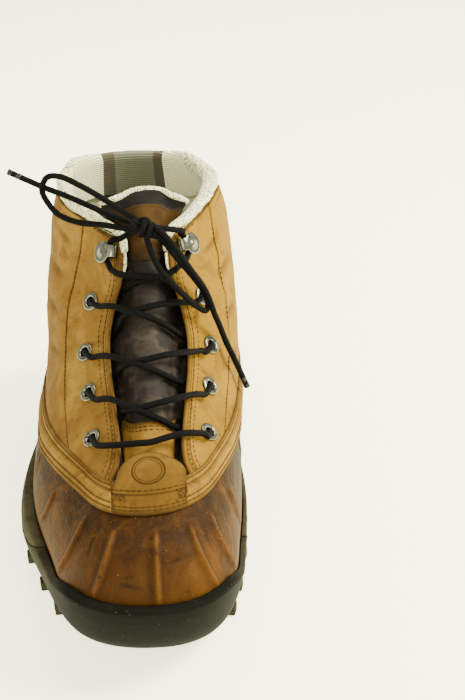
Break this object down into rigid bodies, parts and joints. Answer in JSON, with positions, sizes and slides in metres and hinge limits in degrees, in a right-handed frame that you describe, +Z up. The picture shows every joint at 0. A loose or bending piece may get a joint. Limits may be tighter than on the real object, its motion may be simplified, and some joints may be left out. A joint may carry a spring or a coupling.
{
  "type": "lace-up hiking boot",
  "caption": "Ankle-high hiking boot with a ribbed leather vamp, nubuck quarters, a rubber toe bumper, a lugged sole and a tied round lace, for the right foot.",
  "frame": {"origin": "on the floor, under the middle of the boot's bounding box without the free lace", "axes": "+Z up; the toe points to -Y and the heel to +Y, so +Y runs along the boot; the outer (lateral) side is at -X and the inner (medial) side at +X"},
  "size_m": [0.1274, 0.296, 0.1813],
  "materials": {
    "nubuck": "waxed tan nubuck, worn, with a darker red-brown vamp",
    "smooth_leather": "dark brown smooth leather, padded",
    "outsole_rubber": "dark olive-grey rubber, dusty",
    "midsole_rubber": "dark grey-green rubber, matt",
    "insole_foam": "cloth-covered foam footbed",
    "knit": "cream knit, padded",
    "nickel": "worn nickel plate",
    "lace": "black braided round cord"
  },
  "bodies": {
    "root": {"outsole": "outsole_rubber", "midsole": "midsole_rubber", "insole": "insole_foam", "upper": "nubuck", "band": "nubuck", "tab": "nubuck", "tongue": "smooth_leather", "collar_cuff": "knit", "lace_bar": "lace", "lace_crossing_1": "lace", "lace_crossing_2": "lace", "lace_crossing_3": "lace", "lace_crossing_4": "lace", "lace_loop_lateral": "lace", "lace_loop_medial": "lace", "lace_end_lateral": "lace", "lace_end_medial": "lace", "lace_knot": "lace", "lace_hook_lateral": "nickel", "lace_hook_medial": "nickel", "eyelet_lateral_1": "nickel", "eyelet_lateral_2": "nickel", "eyelet_lateral_3": "nickel", "eyelet_lateral_4": "nickel", "eyelet_medial_1": "nickel", "eyelet_medial_2": "nickel", "eyelet_medial_3": "nickel", "eyelet_medial_4": "nickel"}
  },
  "joints": []
}
